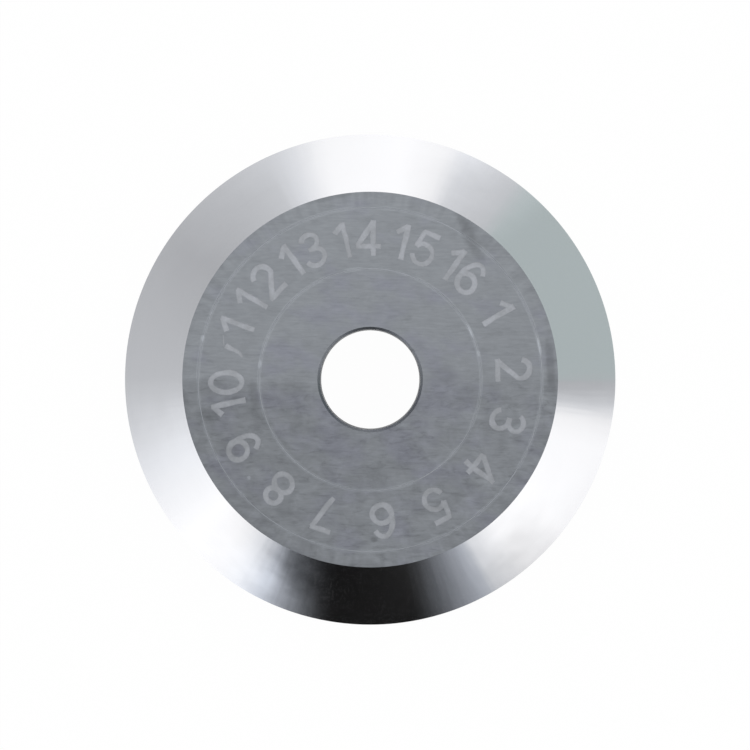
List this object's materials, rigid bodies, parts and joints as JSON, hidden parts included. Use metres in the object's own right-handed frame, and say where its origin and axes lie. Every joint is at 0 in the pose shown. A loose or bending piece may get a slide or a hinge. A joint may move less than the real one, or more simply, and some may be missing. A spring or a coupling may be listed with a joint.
{
  "type": "fiber cleaver blade",
  "caption": "Round cleaver blade for glass fibre: a small ground wheel with a bevelled knife edge all round, a centre bore and numbered positions on one face.",
  "frame": {"origin": "centre of the bore on the plain back face, on which the blade lies", "axes": "+Z along the bore axis towards the marked face, +X through the position number 2, a little below its middle, as the picture shows it to the right"},
  "size_m": [0.02, 0.02, 0.004],
  "materials": {
    "carbide": "ground flat faces with fine streaks, mirror-lapped bevels, frosted position numbers and rings"
  },
  "bodies": {
    "root": {"blade": "carbide"}
  },
  "joints": []
}
